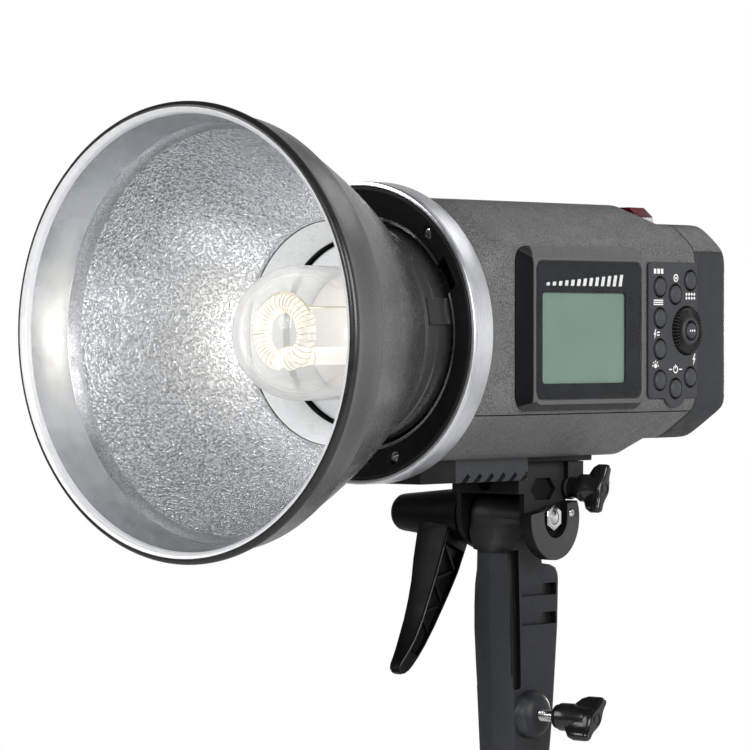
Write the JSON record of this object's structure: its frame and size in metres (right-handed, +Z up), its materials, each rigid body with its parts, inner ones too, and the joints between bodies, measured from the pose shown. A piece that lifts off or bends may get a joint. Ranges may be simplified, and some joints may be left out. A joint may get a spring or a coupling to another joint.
{
  "type": "monolight strobe",
  "caption": "Battery studio flash head with a bayonet bowl reflector, side screen and dial, and a tilting bracket on a stand handle with a spigot socket.",
  "frame": {"origin": "centre of the stand socket's mouth, at the bottom of the handle", "axes": "+Z up along the stand socket and away from the stand, the lamp fires towards -Y, the control panel faces +X"},
  "size_m": [0.182, 0.288, 0.278],
  "materials": {
    "housing_plastic": "fine speckled moulded plastic",
    "black_plastic": "fine satin moulded plastic",
    "battery_plastic": "satin moulded plastic",
    "bell_plastic": "matte moulded plastic",
    "ring_metal": "satin anodised",
    "reflector_metal": "dark satin outside, bright pebbled inside",
    "plated_steel": "zinc plated",
    "bright_steel": "bright plated",
    "bracket_metal": "black powder coat",
    "white_pan": "white",
    "lamp_ceramic": "white ceramic",
    "lamp_glass": "clear polished",
    "tube_glass": "frosted quartz",
    "trigger_gold": "bright wire",
    "led_lens": "diffuse lens",
    "screen_clear": "gloss tinted window",
    "lcd": "grey-green liquid crystal panel",
    "keypad": "satin",
    "key_plastic": "satin",
    "red_window": "translucent red",
    "diffuser": "milky",
    "board": "solder mask",
    "capacitor_sleeve": "sleeve",
    "cell_sleeve": "sleeved cells",
    "contact_brass": "plated",
    "soft_rubber": "matte",
    "washer_nylon": "natural nylon"
  },
  "bodies": {
    "handle": {"handle_body": "black_plastic", "grip_pad": "soft_rubber"},
    "stand_knob": {"stand_screw": "bright_steel", "stand_knob": "black_plastic"},
    "head": {"upper_cover": "housing_plastic", "lower_cover": "housing_plastic", "front_bell": "bell_plastic", "silver_ring": "ring_metal", "mount_ring": "plated_steel", "mount_screws": "bright_steel", "lamp_pan": "white_pan", "lamp_socket": "lamp_ceramic", "modelling_lamp": "led_lens", "screen_bezel": "black_plastic", "screen_glass": "screen_clear", "lcd_panel": "lcd", "keypad_plate": "keypad", "sensor_window": "red_window", "sensor_diffuser": "diffuser", "capacitors": "capacitor_sleeve", "main_board": "board", "control_board": "board", "battery_bay": "black_plastic", "battery_terminals": "contact_brass", "fan_frame": "black_plastic", "jacks": "black_plastic", "case_screws": "plated_steel", "tilt_bracket": "bracket_metal", "tilt_boss": "bracket_metal", "tilt_nut": "bright_steel", "friction_washers": "washer_nylon"},
    "tilt_lever": {"tilt_lever": "black_plastic", "tilt_bolt": "bright_steel"},
    "umbrella_knob": {"umbrella_screw": "bright_steel", "umbrella_knob": "black_plastic"},
    "lamp": {"glass_dome": "lamp_glass", "flash_tube": "tube_glass", "trigger_wire": "trigger_gold", "tube_base": "lamp_ceramic"},
    "reflector": {"reflector_shell": "reflector_metal", "reflector_neck": "reflector_metal"},
    "battery": {"battery_case": "black_plastic", "battery_cap": "battery_plastic", "battery_cells": "cell_sleeve"},
    "battery_latch": {"battery_latch": "black_plastic"},
    "release_catch": {"release_catch": "black_plastic"},
    "fan": {"fan_rotor": "black_plastic"},
    "port_cover": {"port_cover": "soft_rubber"},
    "dial": {"dial_ring": "key_plastic"},
    "dial_key": {"dial_key": "key_plastic"},
    "key_mode": {"key_mode": "key_plastic"},
    "key_menu": {"key_menu": "key_plastic"},
    "key_sync_speed": {"key_sync_speed": "key_plastic"},
    "key_lamp": {"key_lamp": "key_plastic"},
    "key_slave": {"key_slave": "key_plastic"},
    "key_group": {"key_group": "key_plastic"},
    "key_power": {"key_power": "key_plastic"},
    "key_test": {"key_test": "key_plastic"}
  },
  "joints": [
    {"name": "head_tilt", "type": "hinge", "parent": "handle", "child": "head", "pos_m": [0, 0, 0.108], "axis": [1, 0, 0], "range_deg": [-60, 70]},
    {"name": "tilt_lever_turn", "type": "hinge", "parent": "head", "child": "tilt_lever", "pos_m": [0, 0, 0.108], "axis": [1, 0, 0], "range_deg": [-55, 95]},
    {"name": "umbrella_knob_turn", "type": "hinge", "parent": "head", "child": "umbrella_knob", "pos_m": [0, 0.016, 0.1203], "axis": [1, 0, 0], "continuous": true},
    {"name": "stand_knob_turn", "type": "hinge", "parent": "handle", "child": "stand_knob", "pos_m": [0, 0, 0.023], "axis": [1, 0, 0], "continuous": true},
    {"name": "lamp_pull", "type": "slide", "parent": "head", "child": "lamp", "axis": [0, -1, 0], "range_m": [0, 0.05]},
    {"name": "reflector_turn", "type": "hinge", "parent": "head", "child": "reflector", "pos_m": [0, 0, 0.187], "axis": [0, -1, 0], "range_deg": [0, 17]},
    {"name": "battery_slide", "type": "slide", "parent": "head", "child": "battery", "axis": [0, 1, 0], "range_m": [0, 0.075]},
    {"name": "battery_latch_push", "type": "slide", "parent": "battery", "child": "battery_latch", "axis": [1, 0, 0], "range_m": [0, 0.002], "stiffness_N_per_m": 300, "springref_m": -0.001},
    {"name": "release_catch_slide", "type": "slide", "parent": "head", "child": "release_catch", "axis": [0, 1, 0], "range_m": [0, 0.004], "stiffness_N_per_m": 200, "springref_m": -0.002},
    {"name": "fan_spin", "type": "hinge", "parent": "head", "child": "fan", "pos_m": [0, -0.042, 0.142], "axis": [0, 0, 1], "continuous": true},
    {"name": "port_cover_open", "type": "hinge", "parent": "head", "child": "port_cover", "pos_m": [-0.05915, 0.0355, 0.1698], "axis": [0, -1, 0], "range_deg": [0, 110]},
    {"name": "dial_turn", "type": "hinge", "parent": "head", "child": "dial", "pos_m": [0.058, 0.047, 0.188], "axis": [1, 0, 0], "continuous": true},
    {"name": "dial_key_push", "type": "slide", "parent": "head", "child": "dial_key", "axis": [-1, 0, 0], "range_m": [0, 0.001], "stiffness_N_per_m": 400, "springref_m": -0.0005},
    {"name": "key_mode_push", "type": "slide", "parent": "head", "child": "key_mode", "axis": [-1, 0, 0], "range_m": [0, 0.001], "stiffness_N_per_m": 400, "springref_m": -0.0005},
    {"name": "key_menu_push", "type": "slide", "parent": "head", "child": "key_menu", "axis": [-1, 0, 0], "range_m": [0, 0.001], "stiffness_N_per_m": 400, "springref_m": -0.0005},
    {"name": "key_sync_speed_push", "type": "slide", "parent": "head", "child": "key_sync_speed", "axis": [-1, 0, 0], "range_m": [0, 0.001], "stiffness_N_per_m": 400, "springref_m": -0.0005},
    {"name": "key_lamp_push", "type": "slide", "parent": "head", "child": "key_lamp", "axis": [-1, 0, 0], "range_m": [0, 0.001], "stiffness_N_per_m": 400, "springref_m": -0.0005},
    {"name": "key_slave_push", "type": "slide", "parent": "head", "child": "key_slave", "axis": [-1, 0, 0], "range_m": [0, 0.001], "stiffness_N_per_m": 400, "springref_m": -0.0005},
    {"name": "key_group_push", "type": "slide", "parent": "head", "child": "key_group", "axis": [-1, 0, 0], "range_m": [0, 0.001], "stiffness_N_per_m": 400, "springref_m": -0.0005},
    {"name": "key_power_push", "type": "slide", "parent": "head", "child": "key_power", "axis": [-1, 0, 0], "range_m": [0, 0.001], "stiffness_N_per_m": 400, "springref_m": -0.0005},
    {"name": "key_test_push", "type": "slide", "parent": "head", "child": "key_test", "axis": [-1, 0, 0], "range_m": [0, 0.001], "stiffness_N_per_m": 400, "springref_m": -0.0005}
  ]
}
